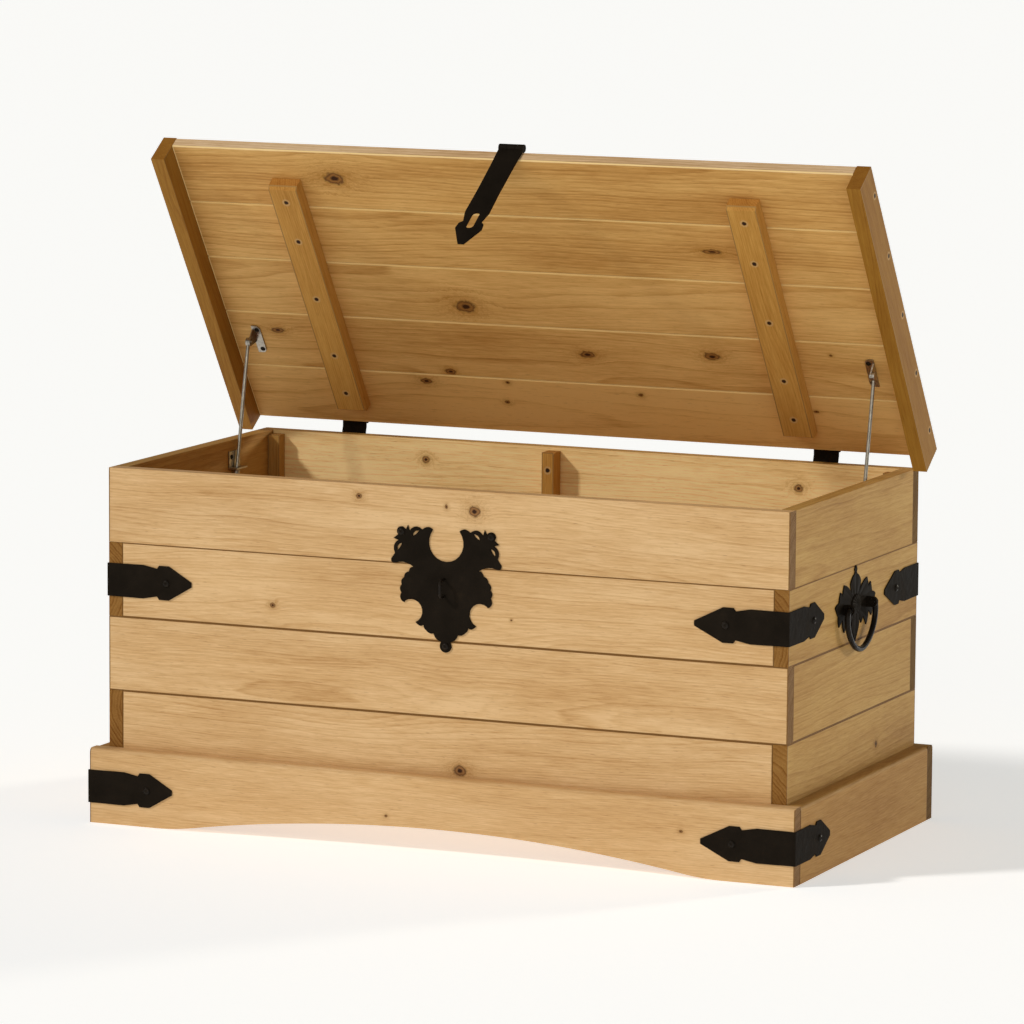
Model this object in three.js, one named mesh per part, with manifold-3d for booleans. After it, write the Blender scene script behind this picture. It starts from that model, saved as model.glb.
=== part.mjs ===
// A pine storage chest with a hinged lid, drawn with the lid held open by its two stays.
// Millimetres, +Z up, front facing -Y. The origin is under the middle of the chest, on the floor.
import * as THREE from 'three';
import { mergeVertices } from 'three/addons/utils/BufferGeometryUtils.js';
import Module from 'manifold-3d';

const wasm = await Module();
wasm.setup();

// ---- Driving dimensions ----
const BODY_W = 1000;
const BODY_D = 494;
const BODY_TOP = 493;
const BOARD = 20;
const ROWS = 4;
const ROW_PITCH = 103;
const SEAM = 0.4;
const PANEL_T = 9;

const PLINTH_OUT = 20;
const PLINTH_H = 104.4;
const PLINTH_ROUND = 7;
const ARCH_HALF = 389;
const ARCH_RISE = 33.5;
const ARCH_BLEND = 30;

const POST_W = 18;
const POST_TOP = 488;
const MID_BATTEN_D = 25;
const MID_BATTEN_X = -38;

const LID_OPEN_DEG = 55.6;
const LID_REST = 0.3;
const LID_T = 18;
const LID_REAR = 245.7;
const LID_BOARDS = 5;
const LID_PITCH = 99.4;
const LID_INNER_W = 1010.4;
const RAIL_DEPTH = 48.3;
const LID_BATTEN_X = 341;
const LID_BATTEN_W = 43;
const LID_BATTEN_T = 20;
const LID_BATTEN_START = 36;
const LID_BATTEN_END = 447;
const LID_BATTEN_CHAMFER = 5;

const PIN_Y = 256.6;
const PIN_Z = 512;
const HINGE_X = 362;
const HINGE_W = 37;
const HINGE_T = 2;
const KNUCKLE_R = 5.5;
const HINGE_PIN_R = 2;
const RUN_GAP = 0.4;

const IRON_T = 1.5;
const IRON_GAP = 0.2;
const NAIL_R = 5.2;
const NAIL_H = 3;
const STRAP_ARM = 133;
const STRAP_SIDE_ARM = 127;
const STRAP_NAIL_AT = 88.5;
const STRAP_UPPER_Z = 338;
const STRAP_LOWER_Z = 51;

const PLATE_X = 8.5;
const STAPLE_X = 6.5;
const HASP_X = 4;
const HASP_PIN_Z = 517;
const HASP_T = 2.5;
const HASP_LENGTH = 206;
const SLOT_START = 140;
const SLOT_END = 174;
const SLOT_W = 11;
const STAPLE_Z = 360;
const STAPLE_R = 2.1;
const STAPLE_BEND = 7;
const STAPLE_HALF = 11.6;
const STAPLE_OUT = 17;

const HANDLE_Z = 338;
const HANDLE_STAND = 10;
const BAIL_R = 4;
const BAIL_HALF = 54;
const BAIL_DROP = 58;
const BAIL_BELOW = 2.5;
const LUG_Y = 43;
const LUG_R = 7;
const LUG_W = 6;

const STAY_X = 474;
const STAY_PIVOT_Y = 133;
const STAY_PIVOT_Z = 630;
const STAY_TILT_DEG = 11.5;
const STAY_GUIDE_DIST = 180;
const STAY_ROD_R = 2.5;
const STAY_EYE_R = 6;
const STAY_PLATE_T = 2;

// The iron on the front stands further out than anything behind, so the frame shifts by half of it.
const FRAME_SHIFT_Y = (IRON_GAP + IRON_T + NAIL_H) / 2;

const HALF_W = BODY_W / 2;
const HALF_D = BODY_D / 2;
const BODY_BOTTOM = BODY_TOP - ROWS * ROW_PITCH;
const LID_UNDER = BODY_TOP + LID_REST;
const LID_TOP = LID_UNDER + LID_T;
const LID_FRONT = LID_REAR - LID_BOARDS * LID_PITCH;
const HASP_FACE_Y = LID_FRONT - IRON_GAP;

// ---- Materials ----
function finish(name, color, roughness, metalness) {
  const material = new THREE.MeshStandardMaterial({ color, roughness, metalness });
  material.name = name;
  return material;
}
const pine = finish('pine', 0xd9a866, 0.55, 0);
const palePine = finish('plywood', 0xdcb67c, 0.65, 0);
const iron = finish('black_iron', 0x1b1715, 0.5, 0.6);
const zinc = finish('zinc', 0xb5b2a8, 0.35, 0.9);

// ---- Shape helpers ----
function toSolid(geometry) {
  const plain = geometry.clone();
  plain.deleteAttribute('normal');
  plain.deleteAttribute('uv');
  const merged = mergeVertices(plain, 1e-4);
  const vertProperties = new Float32Array(merged.attributes.position.array);
  const triVerts = new Uint32Array(merged.index.array);
  return new wasm.Manifold(new wasm.Mesh({ numProp: 3, vertProperties, triVerts }));
}

function toGeometry(solid) {
  const mesh = solid.getMesh();
  const geometry = new THREE.BufferGeometry();
  geometry.setAttribute('position', new THREE.BufferAttribute(mesh.vertProperties, 3));
  geometry.setIndex(new THREE.BufferAttribute(mesh.triVerts, 1));
  return geometry;
}

function join(parts) {
  return toGeometry(parts.map(toSolid).reduce((whole, part) => whole.add(part)));
}

function cut(geometry, tools) {
  return toGeometry(tools.map(toSolid).reduce((whole, tool) => whole.subtract(tool), toSolid(geometry)));
}

function box(x0, x1, y0, y1, z0, z1) {
  const geometry = new THREE.BoxGeometry(x1 - x0, y1 - y0, z1 - z0);
  return geometry.translate((x0 + x1) / 2, (y0 + y1) / 2, (z0 + z1) / 2);
}

// Outline in (x, z), thickness running from yBack towards -Y.
function plateFacingFront(outline, yBack, thickness, segments = 6) {
  const options = { depth: thickness, bevelEnabled: false, curveSegments: segments };
  const geometry = new THREE.ExtrudeGeometry(outline, options);
  return geometry.rotateX(Math.PI / 2).translate(0, yBack, 0);
}

// Outline in (y, z), running along +X from x0.
function prismAlongX(outline, x0, length, segments = 6) {
  const options = { depth: length, bevelEnabled: false, curveSegments: segments };
  const geometry = new THREE.ExtrudeGeometry(outline, options);
  const basis = new THREE.Matrix4().makeBasis(
    new THREE.Vector3(0, 1, 0), new THREE.Vector3(0, 0, 1), new THREE.Vector3(1, 0, 0));
  return geometry.applyMatrix4(basis).translate(x0, 0, 0);
}

function polygon(points) {
  return new THREE.Shape(points.map(([u, v]) => new THREE.Vector2(u, v)));
}

function disc(u, v, radius) {
  return new THREE.Shape().absarc(u, v, radius, 0, 2 * Math.PI, false);
}

function rodAlongX(x0, x1, y, z, radius, segments = 8) {
  return prismAlongX(disc(y, z, radius), x0, x1 - x0, segments);
}

// A domed nail head, flat side at the origin, dome towards -Y.
function nailFacingFront(x, yFace, z) {
  const profile = [new THREE.Vector2(0, -0.5), new THREE.Vector2(NAIL_R, -0.5)];
  for (let step = 0; step <= 4; step += 1) {
    const angle = (step / 4) * Math.PI / 2;
    profile.push(new THREE.Vector2(NAIL_R * Math.cos(angle), NAIL_H * Math.sin(angle)));
  }
  profile[profile.length - 1].x = 0;
  const dome = new THREE.LatheGeometry(profile, 16);
  return dome.rotateX(Math.PI).translate(x, yFace, z);
}

function mirrored(points) {
  const other = points.map(([u, v]) => [-u, v]).reverse();
  return points.concat(other);
}

// ---- Scene graph ----
const chest = new THREE.Group();
chest.position.y = FRAME_SHIFT_Y;
const lidHinge = new THREE.Group();
lidHinge.position.set(0, PIN_Y, PIN_Z);
lidHinge.rotation.x = THREE.MathUtils.degToRad(-LID_OPEN_DEG);
const lid = new THREE.Group();
lid.position.set(0, -PIN_Y, -PIN_Z);
lidHinge.add(lid);
chest.add(lidHinge);

function place(group, name, geometry, material) {
  const mesh = new THREE.Mesh(geometry, material);
  mesh.name = name;
  group.add(mesh);
}

// ---- Carcass ----
function addWalls() {
  for (let row = 0; row < ROWS; row += 1) {
    const top = BODY_TOP - row * ROW_PITCH;
    const bottom = top - ROW_PITCH + SEAM;
    const longFront = row % 2 === 0;
    const endX = longFront ? HALF_W : HALF_W - BOARD - SEAM;
    const endY = longFront ? HALF_D - BOARD - SEAM : HALF_D;
    const number = row + 1;
    place(chest, `front_board_${number}`, box(-endX, endX, -HALF_D, BOARD - HALF_D, bottom, top), pine);
    place(chest, `back_board_${number}`, box(-endX, endX, HALF_D - BOARD, HALF_D, bottom, top), pine);
    place(chest, `left_board_${number}`, box(-HALF_W, BOARD - HALF_W, -endY, endY, bottom, top), pine);
    place(chest, `right_board_${number}`, box(HALF_W - BOARD, HALF_W, -endY, endY, bottom, top), pine);
  }
  const top = BODY_BOTTOM;
  const inX = HALF_W - SEAM;
  const inY = HALF_D - SEAM;
  place(chest, 'bottom_panel', box(-inX, inX, -inY, inY, top - PANEL_T, top), palePine);
}

function addPosts() {
  const outX = HALF_W - BOARD - SEAM;
  const outY = HALF_D - BOARD - SEAM;
  const foot = BODY_BOTTOM + SEAM;
  for (const [sideName, sx] of [['left', -1], ['right', 1]]) {
    for (const [endName, sy] of [['front', -1], ['back', 1]]) {
      const xs = [sx * outX, sx * (outX - POST_W)].sort((a, b) => a - b);
      const ys = [sy * outY, sy * (outY - POST_W)].sort((a, b) => a - b);
      const post = box(xs[0], xs[1], ys[0], ys[1], foot, POST_TOP);
      place(chest, `corner_post_${endName}_${sideName}`, post, pine);
    }
  }
  const x0 = MID_BATTEN_X - POST_W / 2;
  const x1 = MID_BATTEN_X + POST_W / 2;
  const inner = outY - MID_BATTEN_D;
  place(chest, 'wall_batten_back', box(x0, x1, inner, outY, foot, POST_TOP), pine);
  place(chest, 'wall_batten_front', box(x0, x1, -outY, -inner, foot, POST_TOP), pine);
}

// Section of a plinth board: (u outward, z up), outer top edge rounded over.
function plinthSection(inner, outward) {
  const outer = inner + outward * BOARD;
  const shape = new THREE.Shape();
  shape.moveTo(inner, 0);
  shape.lineTo(outer, 0);
  shape.lineTo(outer, PLINTH_H - PLINTH_ROUND);
  shape.quadraticCurveTo(outer, PLINTH_H, outer - outward * PLINTH_ROUND, PLINTH_H);
  shape.lineTo(inner, PLINTH_H);
  return shape;
}

// The shallow arch cut out of the front board, blended into its two flat feet.
function archCutter() {
  const radius = (ARCH_HALF ** 2 + ARCH_RISE ** 2) / (2 * ARCH_RISE);
  const centreZ = ARCH_RISE - radius;
  const footAngle = Math.asin((ARCH_HALF - ARCH_BLEND) / radius);
  const blendX = radius * Math.sin(footAngle);
  const blendZ = centreZ + radius * Math.cos(footAngle);
  const below = -10;
  const shape = new THREE.Shape();
  shape.moveTo(-ARCH_HALF - ARCH_BLEND, below);
  shape.lineTo(-ARCH_HALF - ARCH_BLEND, 0);
  shape.quadraticCurveTo(-ARCH_HALF, 0, -blendX, blendZ);
  shape.absarc(0, centreZ, radius, Math.PI / 2 + footAngle, Math.PI / 2 - footAngle, true);
  shape.quadraticCurveTo(ARCH_HALF, 0, ARCH_HALF + ARCH_BLEND, 0);
  shape.lineTo(ARCH_HALF + ARCH_BLEND, below);
  return plateFacingFront(shape, 0, HALF_D + 2 * BOARD, 24);
}

function addPlinth() {
  const outX = HALF_W + PLINTH_OUT;
  const front = prismAlongX(plinthSection(-HALF_D - SEAM / 2, -1), -outX, 2 * outX);
  place(chest, 'plinth_front', cut(front, [archCutter()]), pine);
  const back = prismAlongX(plinthSection(HALF_D + SEAM / 2, 1), -outX, 2 * outX);
  place(chest, 'plinth_back', toGeometry(toSolid(back)), pine);
  const length = BODY_D - SEAM;
  const side = prismAlongX(plinthSection(HALF_W + SEAM / 2, 1), -length / 2, length);
  const right = side.clone().applyMatrix4(new THREE.Matrix4().makeBasis(
    new THREE.Vector3(0, -1, 0), new THREE.Vector3(1, 0, 0), new THREE.Vector3(0, 0, 1)));
  place(chest, 'plinth_right', toGeometry(toSolid(right)), pine);
  place(chest, 'plinth_left', toGeometry(toSolid(right.clone().rotateZ(Math.PI))), pine);
}

// ---- Corner straps ----
// Half height of a strap arm at each distance from the corner: band, neck and head.
const STRAP_OUTLINE = [[53.5, 23.2], [74.5, 19.2], [77.5, 23.6], [92.5, 23.6]];
const STRAP_CORNER_HALF = 22.8;
const STRAP_TIP_HALF = 3.4;

function strapOutline(reach, armLength) {
  const edge = [[-reach, STRAP_CORNER_HALF], ...STRAP_OUTLINE, [armLength, STRAP_TIP_HALF]];
  const upper = edge.map(([s, h]) => [-s, h]);
  const lower = edge.map(([s, h]) => [-s, -h]).reverse();
  return polygon([...upper, ...lower]);
}

// A strap round the front right corner of a box whose corner edge is the Z axis.
function cornerStrap() {
  const reach = IRON_GAP + IRON_T;
  const frontArm = plateFacingFront(strapOutline(reach, STRAP_ARM), -IRON_GAP, IRON_T);
  const sideArm = plateFacingFront(strapOutline(reach, STRAP_SIDE_ARM), -IRON_GAP, IRON_T);
  const nail = nailFacingFront(-STRAP_NAIL_AT, -reach, 0);
  const flip = new THREE.Matrix4().makeBasis(
    new THREE.Vector3(0, -1, 0), new THREE.Vector3(-1, 0, 0), new THREE.Vector3(0, 0, -1));
  const sideNail = nail.clone().applyMatrix4(flip);
  return join([frontArm, nail, sideArm.applyMatrix4(flip), sideNail]);
}

function addStraps() {
  const strap = cornerStrap();
  const corners = [
    ['front_right', 0, 1, -1], ['back_right', 1, 1, 1], ['back_left', 2, -1, 1], ['front_left', 3, -1, -1]];
  for (const [corner, turns, sx, sy] of corners) {
    const upper = strap.clone().rotateZ(turns * Math.PI / 2);
    upper.translate(sx * HALF_W, sy * HALF_D, STRAP_UPPER_Z);
    place(chest, `corner_strap_upper_${corner}`, upper, iron);
    if (sy < 0) {
      const lower = strap.clone().rotateZ(turns * Math.PI / 2);
      const plinthFaceY = HALF_D + SEAM / 2 + BOARD;
      lower.translate(sx * (HALF_W + PLINTH_OUT + SEAM / 2), sy * plinthFaceY, STRAP_LOWER_Z);
      place(chest, `corner_strap_plinth_${corner}`, lower, iron);
    }
  }
}

// ---- Escutcheon and staple ----
const PLATE_DROP = -1.6;

// Right half of the plate, drawn about its own centre line; z is measured from the floor.
function escutcheonOutline() {
  const BITE_X = 50.5;
  const BITE_Z = 327.5;
  const BITE_R = 16;
  const NOTCH_Z = 422.4;
  const NOTCH_R = 25.5;
  const half = new THREE.Path();
  half.moveTo(19.6, 439.6);
  half.quadraticCurveTo(27, 446, 35.3, 438.6);
  half.quadraticCurveTo(46, 447, 54, 436);
  half.lineTo(56.4, 443.6);
  half.lineTo(59, 438.2);
  half.absarc(66, 434.6, 6.6, 2.6, -0.75, true);
  half.lineTo(77.6, 424.6);
  half.lineTo(70, 422.6);
  half.quadraticCurveTo(80.5, 417, 75.4, 404.5);
  half.lineTo(80.8, 397);
  half.quadraticCurveTo(82, 389.5, 74, 391.4);
  half.quadraticCurveTo(60, 396, 48.2, 387.5);
  const scallops = [[54.6, 380.6], [61.6, 372.6], [65.2, 362.6], [65.6, 351.4], [64.2, 339.6]];
  let [fromX, fromZ] = [48.2, 387.5];
  for (const [toX, toZ] of scallops) {
    const outX = (toZ - fromZ) * -0.42;
    const outZ = (toX - fromX) * 0.42;
    half.quadraticCurveTo((fromX + toX) / 2 + outX, (fromZ + toZ) / 2 + outZ, toX, toZ);
    [fromX, fromZ] = [toX, toZ];
  }
  half.lineTo(61, 338.4);
  half.absarc(BITE_X, BITE_Z, BITE_R, 0.86, -1.95, false);
  half.quadraticCurveTo(38, 305, 32.6, 309.4);
  const lower = [[28.8, 302.4], [17.8, 298.6], [7.4, 288.6]];
  [fromX, fromZ] = [32.6, 309.4];
  for (const [toX, toZ] of lower) {
    const outX = (toZ - fromZ) * -0.3;
    const outZ = (toX - fromX) * 0.3;
    half.quadraticCurveTo((fromX + toX) / 2 + outX, (fromZ + toZ) / 2 + outZ, toX, toZ);
    [fromX, fromZ] = [toX, toZ];
  }
  const BALL_Z = 282.6;
  const BALL_R = 8.6;
  half.absarc(0, BALL_Z, BALL_R, 0.7, -Math.PI / 2, true);
  const right = half.getPoints(5).map((point) => [point.x, point.y]);
  const whole = mirrored(right);
  const notch = [];
  const hornAngle = Math.asin((439.6 - NOTCH_Z) / NOTCH_R);
  for (let step = 1; step < 16; step += 1) {
    const angle = Math.PI - hornAngle + (step / 16) * (Math.PI + 2 * hornAngle);
    notch.push([NOTCH_R * Math.cos(angle), NOTCH_Z + NOTCH_R * Math.sin(angle)]);
  }
  return polygon(whole.concat(notch));
}

// Small crescent pierced through each wing.
const PIERCING_CROWN = 0.95;
const PIERCING_BELLY = -0.25;

function wingPiercing(x, z, lean) {
  const shape = new THREE.Shape();
  const reach = 6.2;
  const dx = reach * Math.cos(lean);
  const dz = reach * Math.sin(lean);
  shape.moveTo(x - dx, z - dz);
  shape.quadraticCurveTo(x - dz * PIERCING_CROWN, z + dx * PIERCING_CROWN, x + dx, z + dz);
  shape.quadraticCurveTo(x - dz * PIERCING_BELLY, z + dx * PIERCING_BELLY, x - dx, z - dz);
  return plateFacingFront(shape, 10, 20, 4);
}

function addLatchPlate() {
  const plate = plateFacingFront(escutcheonOutline(), 0, IRON_T);
  const piercings = [];
  for (const side of [-1, 1]) {
    piercings.push(wingPiercing(side * 44.6, 433, side > 0 ? -0.7 : 0.7));
    piercings.push(wingPiercing(side * 68.4, 413.6, side > 0 ? -1.0 : 1.0));
  }
  const pierced = cut(plate, piercings);
  const nails = [[-66, 434.6], [66, 434.6], [0, 282.6]];
  const heads = nails.map(([x, z]) => nailFacingFront(x, -IRON_T, z));
  const whole = join([pierced, ...heads]);
  place(chest, 'latch_plate', whole.translate(PLATE_X, -HALF_D - IRON_GAP, PLATE_DROP), iron);
}

function roundSection(radius, sides) {
  const points = [];
  for (let step = 0; step < sides; step += 1) {
    const angle = (step / sides) * 2 * Math.PI;
    points.push(new THREE.Vector2(radius * Math.cos(angle), radius * Math.sin(angle)));
  }
  return new THREE.Shape(points);
}

function bar(path, radius, steps, sides = 10) {
  const options = { steps, extrudePath: path, bevelEnabled: false };
  return new THREE.ExtrudeGeometry(roundSection(radius, sides), options);
}

function addStaple() {
  const face = -HALF_D - IRON_GAP - IRON_T - 0.1;
  const nose = face - STAPLE_OUT + STAPLE_R;
  const path = new THREE.CurvePath();
  const at = (y, z) => new THREE.Vector3(STAPLE_X, y, z);
  const bend = STAPLE_BEND;
  const top = STAPLE_Z + STAPLE_HALF;
  const foot = STAPLE_Z - STAPLE_HALF;
  path.add(new THREE.LineCurve3(at(face, top), at(nose + bend, top)));
  path.add(new THREE.QuadraticBezierCurve3(at(nose + bend, top), at(nose, top), at(nose, top - bend)));
  path.add(new THREE.LineCurve3(at(nose, top - bend), at(nose, foot + bend)));
  path.add(new THREE.QuadraticBezierCurve3(at(nose, foot + bend), at(nose, foot), at(nose + bend, foot)));
  path.add(new THREE.LineCurve3(at(nose + bend, foot), at(face, foot)));
  place(chest, 'latch_staple', bar(path, STAPLE_R, 28), iron);
}

// ---- Handles ----
// Right half of the leaf plate about its centre: each leaf runs out to a tip and back to a notch.
const PLATE_LEAVES = [
  { tip: [20, 29], notch: [14.5, 14] },
  { tip: [44, 31], notch: [50, 16] },
  { tip: [58, 23], notch: [63, 9] },
  { tip: [77, 4], notch: [66, -9] },
  { tip: [62, -24], notch: [49.5, -15] },
  { tip: [42, -34], notch: [29, -20] },
  { tip: [22, -29], notch: [12.5, -18] },
  { tip: [13, -33], notch: [0, -51] },
];
const FINIAL_TOP = 52.5;
const FINIAL_BALL = [[3, 50.5], [4.6, 47], [3, 43.5], [4.5, 41]];
const LEAF_SWELL = 0.2;

function handlePlateOutline() {
  const half = new THREE.Path();
  half.moveTo(0, FINIAL_TOP);
  for (const [u, v] of FINIAL_BALL) {
    half.lineTo(u, v);
  }
  let [fromU, fromV] = FINIAL_BALL[FINIAL_BALL.length - 1];
  for (const { tip, notch } of PLATE_LEAVES) {
    const [tipU, tipV] = tip;
    const outU = (tipV - fromV) * -LEAF_SWELL;
    const outV = (tipU - fromU) * LEAF_SWELL;
    half.quadraticCurveTo((fromU + tipU) / 2 + outU, (fromV + tipV) / 2 + outV, tipU, tipV);
    half.quadraticCurveTo((tipU + notch[0]) / 2 + 1, (tipV + notch[1]) / 2, notch[0], notch[1]);
    [fromU, fromV] = notch;
  }
  const right = half.getPoints(4).map((point) => [point.x, point.y]);
  const left = right.slice(1, -1).map(([u, v]) => [-u, v]).reverse();
  return polygon([...right, ...left]);
}

// Eye standing off the plate, its hole along Y at the bail's axis.
function lug(y) {
  const shape = new THREE.Shape();
  shape.moveTo(0.5, -LUG_R);
  shape.lineTo(HANDLE_STAND, -LUG_R);
  shape.absarc(HANDLE_STAND, 0, LUG_R, -Math.PI / 2, Math.PI / 2, false);
  shape.lineTo(0.5, LUG_R);
  shape.holes.push(new THREE.Path().absarc(HANDLE_STAND, 0, BAIL_R + RUN_GAP, 0, 2 * Math.PI, true));
  const options = { depth: LUG_W, bevelEnabled: false, curveSegments: 8 };
  const body = new THREE.ExtrudeGeometry(shape, options).rotateX(Math.PI / 2);
  return body.translate(0, y + LUG_W / 2, -BAIL_BELOW);
}

// The round boss in the middle of the plate.
function plateBoss() {
  const profile = [[0, 0.5], [20, 0.5], [17, 3.2], [9, 4.6], [0, 5]];
  const boss = new THREE.LatheGeometry(profile.map(([r, h]) => new THREE.Vector2(r, h)), 24);
  return boss.scale(1, 1, 0.72).rotateZ(-Math.PI / 2);
}

function handlePlate() {
  const leaf = prismAlongX(handlePlateOutline(), 0, IRON_T);
  return join([leaf, lug(-LUG_Y), lug(LUG_Y), plateBoss()]);
}

function bailPath() {
  const stub = LUG_Y - LUG_W / 2 - 2;
  const turn = BAIL_HALF - 9;
  const shoulder = -10;
  const hip = -34;
  const belly = 26;
  const at = (y, z) => new THREE.Vector3(0, y, z);
  const bottom = at(0, -BAIL_DROP);
  const path = new THREE.CurvePath();
  path.add(new THREE.LineCurve3(at(-stub, 0), at(-turn, 0)));
  path.add(new THREE.QuadraticBezierCurve3(at(-turn, 0), at(-BAIL_HALF, 0), at(-BAIL_HALF, shoulder)));
  path.add(new THREE.CubicBezierCurve3(
    at(-BAIL_HALF, shoulder), at(-BAIL_HALF, hip), at(-belly, -BAIL_DROP), bottom));
  path.add(new THREE.CubicBezierCurve3(
    bottom, at(belly, -BAIL_DROP), at(BAIL_HALF, hip), at(BAIL_HALF, shoulder)));
  path.add(new THREE.QuadraticBezierCurve3(at(BAIL_HALF, shoulder), at(BAIL_HALF, 0), at(turn, 0)));
  path.add(new THREE.LineCurve3(at(turn, 0), at(stub, 0)));
  return path;
}

function addHandles() {
  const plate = handlePlate().translate(HALF_W + IRON_GAP, 0, HANDLE_Z);
  const axisX = HALF_W + IRON_GAP + HANDLE_STAND;
  const bail = bar(bailPath(), BAIL_R, 64).translate(axisX, 0, HANDLE_Z - BAIL_BELOW);
  place(chest, 'handle_plate_right', plate, iron);
  place(chest, 'handle_bail_right', bail, iron);
  place(chest, 'handle_plate_left', plate.clone().rotateZ(Math.PI), iron);
  place(chest, 'handle_bail_left', bail.clone().rotateZ(Math.PI), iron);
}

// ---- Lid ----
function lidBoardOutline(rear, front) {
  const vee = 1.6;
  return polygon([
    [front, LID_UNDER + vee], [front + vee, LID_UNDER], [rear - vee, LID_UNDER], [rear, LID_UNDER + vee],
    [rear, LID_TOP - vee], [rear - vee, LID_TOP], [front + vee, LID_TOP], [front, LID_TOP - vee]]);
}

function addLidBoards() {
  const endX = LID_INNER_W / 2 - SEAM;
  for (let number = 1; number <= LID_BOARDS; number += 1) {
    const rear = LID_REAR - (number - 1) * LID_PITCH;
    const front = rear - LID_PITCH + SEAM;
    const board = prismAlongX(lidBoardOutline(rear, front), -endX, 2 * endX);
    place(lid, `lid_board_${number}`, board, pine);
  }
  const inner = LID_INNER_W / 2;
  const railFoot = LID_TOP - RAIL_DEPTH;
  const front = LID_FRONT + SEAM;
  place(lid, 'lid_rail_right', box(inner, inner + BOARD, front, LID_REAR, railFoot, LID_TOP), pine);
  place(lid, 'lid_rail_left', box(-inner - BOARD, -inner, front, LID_REAR, railFoot, LID_TOP), pine);
}

function addLidBattens() {
  const rear = LID_REAR - LID_BATTEN_START;
  const front = LID_REAR - LID_BATTEN_END;
  const top = LID_UNDER - LID_REST;
  const foot = top - LID_BATTEN_T;
  const c = LID_BATTEN_CHAMFER;
  const outline = polygon([
    [front, top], [front, foot + c], [front + c, foot], [rear - c, foot], [rear, foot + c], [rear, top]]);
  for (const [name, centre] of [['left', -LID_BATTEN_X], ['right', LID_BATTEN_X]]) {
    const batten = prismAlongX(outline, centre - LID_BATTEN_W / 2, LID_BATTEN_W);
    place(lid, `lid_batten_${name}`, batten, pine);
  }
}

// ---- Strap hinges ----
const KNUCKLE_LENGTH = HINGE_W / 3;
const LEAF_OPTIONS = { depth: HINGE_T, bevelEnabled: false };
const LEAF_DROP = 62;
const CRANK_BELOW = 4;
const CRANK_RISE = 13;
const LID_STRAP_LENGTH = 165;
const LID_STRAP_NECK = 120;

function bodyLeaf() {
  const face = HALF_D + IRON_GAP;
  const front = PIN_Y - KNUCKLE_R;
  const bendZ = BODY_TOP - CRANK_BELOW;
  const crankZ = bendZ + CRANK_RISE;
  const foot = BODY_TOP - LEAF_DROP;
  const section = polygon([
    [face, foot], [face + HINGE_T, foot], [face + HINGE_T, bendZ], [front + HINGE_T, crankZ],
    [front + HINGE_T, PIN_Z - 1], [front, PIN_Z - 1], [front, crankZ], [face, bendZ]]);
  const leaf = prismAlongX(section, -HINGE_W / 2, HINGE_W);
  const half = KNUCKLE_LENGTH / 2;
  const reach = HINGE_W / 2 + 5;
  const clear = KNUCKLE_R + RUN_GAP;
  const relieved = cut(leaf, [
    rodAlongX(half, reach, PIN_Y, PIN_Z, clear), rodAlongX(-reach, -half, PIN_Y, PIN_Z, clear)]);
  const knuckle = rodAlongX(-half, half, PIN_Y, PIN_Z, KNUCKLE_R);
  const pin = rodAlongX(-HINGE_W / 2, HINGE_W / 2, PIN_Y, PIN_Z, HINGE_PIN_R, 6);
  return join([relieved, knuckle, pin]);
}

// Plan of a leaf lying on the lid, from its pin to its pointed end.
function leafPlan(half, pinY, direction, neck, length) {
  const edge = [[half, 0], [half, neck - 8], [half - 5, neck], [half, neck + 6], [2.5, length]];
  const right = edge.map(([x, along]) => [x, pinY + direction * along]);
  const left = right.map(([x, y]) => [-x, y]).reverse();
  return polygon([...right, ...left]);
}

function lidStrapLeaf() {
  const under = LID_TOP + IRON_GAP;
  const half = HINGE_W / 2;
  const plan = leafPlan(half, PIN_Y, -1, LID_STRAP_NECK, LID_STRAP_LENGTH);
  const plate = new THREE.ExtrudeGeometry(plan, LEAF_OPTIONS).translate(0, 0, under);
  const mid = KNUCKLE_LENGTH / 2 + RUN_GAP;
  const clear = KNUCKLE_R + RUN_GAP;
  const bore = rodAlongX(-half - 5, half + 5, PIN_Y, PIN_Z, HINGE_PIN_R + RUN_GAP, 6);
  const strap = join([
    plate, rodAlongX(mid, half, PIN_Y, PIN_Z, KNUCKLE_R), rodAlongX(-half, -mid, PIN_Y, PIN_Z, KNUCKLE_R)]);
  return cut(strap, [bore, rodAlongX(-mid, mid, PIN_Y, PIN_Z, clear)]);
}

function addHinges() {
  const leaf = bodyLeaf();
  const strap = lidStrapLeaf();
  for (const [name, x] of [['left', -HINGE_X], ['right', HINGE_X]]) {
    place(chest, `hinge_leaf_${name}`, leaf.clone().translate(x, 0, 0), iron);
    place(lid, `hinge_strap_${name}`, strap.clone().translate(x, 0, 0), iron);
  }
}

// ---- Hasp ----
const HASP_HALF_W = 18.3;
const HASP_LEAF_LENGTH = 95;
const HASP_LEAF_NECK = 67;
const HASP_PIN_Y = HASP_FACE_Y - HASP_T / 2;

function haspLeaf() {
  const under = LID_TOP + IRON_GAP;
  const half = HASP_HALF_W;
  const plan = leafPlan(half, HASP_PIN_Y, 1, HASP_LEAF_NECK, HASP_LEAF_LENGTH);
  const plate = new THREE.ExtrudeGeometry(plan, LEAF_OPTIONS).translate(0, 0, under);
  const third = half / 3;
  const clear = KNUCKLE_R + RUN_GAP;
  const relieved = cut(plate, [
    rodAlongX(third, half + 5, HASP_PIN_Y, HASP_PIN_Z, clear),
    rodAlongX(-half - 5, -third, HASP_PIN_Y, HASP_PIN_Z, clear)]);
  const knuckle = rodAlongX(-third, third, HASP_PIN_Y, HASP_PIN_Z, KNUCKLE_R);
  const pin = rodAlongX(-half, half, HASP_PIN_Y, HASP_PIN_Z, HINGE_PIN_R, 6);
  return join([relieved, knuckle, pin]);
}

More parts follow.
